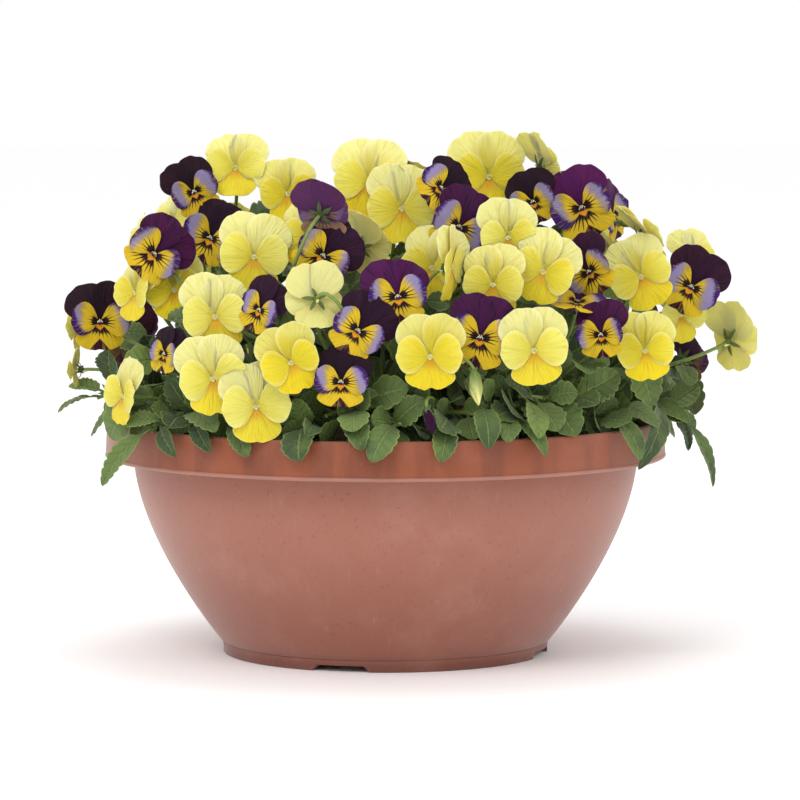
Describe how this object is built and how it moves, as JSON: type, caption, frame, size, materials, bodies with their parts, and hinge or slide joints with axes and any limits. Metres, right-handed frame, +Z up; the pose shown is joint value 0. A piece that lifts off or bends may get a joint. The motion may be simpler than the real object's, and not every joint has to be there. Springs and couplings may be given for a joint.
{
  "type": "potted horned violet",
  "caption": "Round plastic bowl planted with small-flowered violets in yellow and dark violet, which rests on its foot ring as a patio or table plant.",
  "frame": {"origin": "on the floor, under the middle of the whole plant's spread", "axes": "+Z up, -Y towards the viewer of the picture, +X to the right in it"},
  "size_m": [0.3781, 0.3237, 0.2835],
  "materials": {
    "terracotta_plastic": "matt moulded plastic, faintly speckled",
    "potting_mix": "rough granular peat and bark",
    "violet_leaf": "soft green leaf and stem with paler veins",
    "yellow_petal": "velvety petal, pale above and deep yellow below",
    "violet_petal": "velvety petal, dark violet above, yellow below with dark whiskers"
  },
  "bodies": {
    "root": {"pot": "terracotta_plastic", "soil": "potting_mix", "violet_bloom_01": "violet_petal", "violet_bloom_02": "violet_petal", "violet_bloom_03": "violet_petal", "violet_bloom_04": "violet_petal", "violet_bloom_05": "violet_petal", "violet_bloom_06": "violet_petal", "violet_bloom_07": "violet_petal", "violet_bloom_08": "violet_petal", "violet_bloom_09": "violet_petal", "violet_bloom_10": "violet_petal", "violet_bloom_11": "violet_petal", "violet_bloom_12": "violet_petal", "violet_bloom_13": "violet_petal", "violet_bloom_14": "violet_petal", "violet_bloom_15": "violet_petal", "violet_bloom_16": "violet_petal", "violet_bloom_17": "violet_petal", "violet_bloom_18": "violet_petal", "violet_plant_01": "violet_leaf", "violet_plant_02": "violet_leaf", "violet_plant_03": "violet_leaf", "violet_plant_04": "violet_leaf", "violet_plant_05": "violet_leaf", "yellow_bloom_01": "yellow_petal", "yellow_bloom_02": "yellow_petal", "yellow_bloom_03": "yellow_petal", "yellow_bloom_04": "yellow_petal", "yellow_bloom_05": "yellow_petal", "yellow_bloom_06": "yellow_petal", "yellow_bloom_07": "yellow_petal", "yellow_bloom_08": "yellow_petal", "yellow_bloom_09": "yellow_petal", "yellow_bloom_10": "yellow_petal", "yellow_bloom_11": "yellow_petal", "yellow_bloom_12": "yellow_petal", "yellow_bloom_13": "yellow_petal", "yellow_bloom_14": "yellow_petal", "yellow_bloom_15": "yellow_petal", "yellow_bloom_16": "yellow_petal", "yellow_bloom_17": "yellow_petal", "yellow_bloom_18": "yellow_petal", "yellow_bloom_19": "yellow_petal", "yellow_bloom_20": "yellow_petal", "yellow_bloom_21": "yellow_petal", "yellow_bloom_22": "yellow_petal", "yellow_bloom_23": "yellow_petal", "yellow_bloom_24": "yellow_petal", "yellow_bloom_25": "yellow_petal", "yellow_bloom_26": "yellow_petal", "yellow_bloom_27": "yellow_petal", "yellow_bloom_28": "yellow_petal", "yellow_bloom_29": "yellow_petal", "yellow_plant_01": "violet_leaf", "yellow_plant_02": "violet_leaf", "yellow_plant_03": "violet_leaf", "yellow_plant_04": "violet_leaf", "yellow_plant_05": "violet_leaf", "yellow_plant_06": "violet_leaf"}
  },
  "joints": []
}
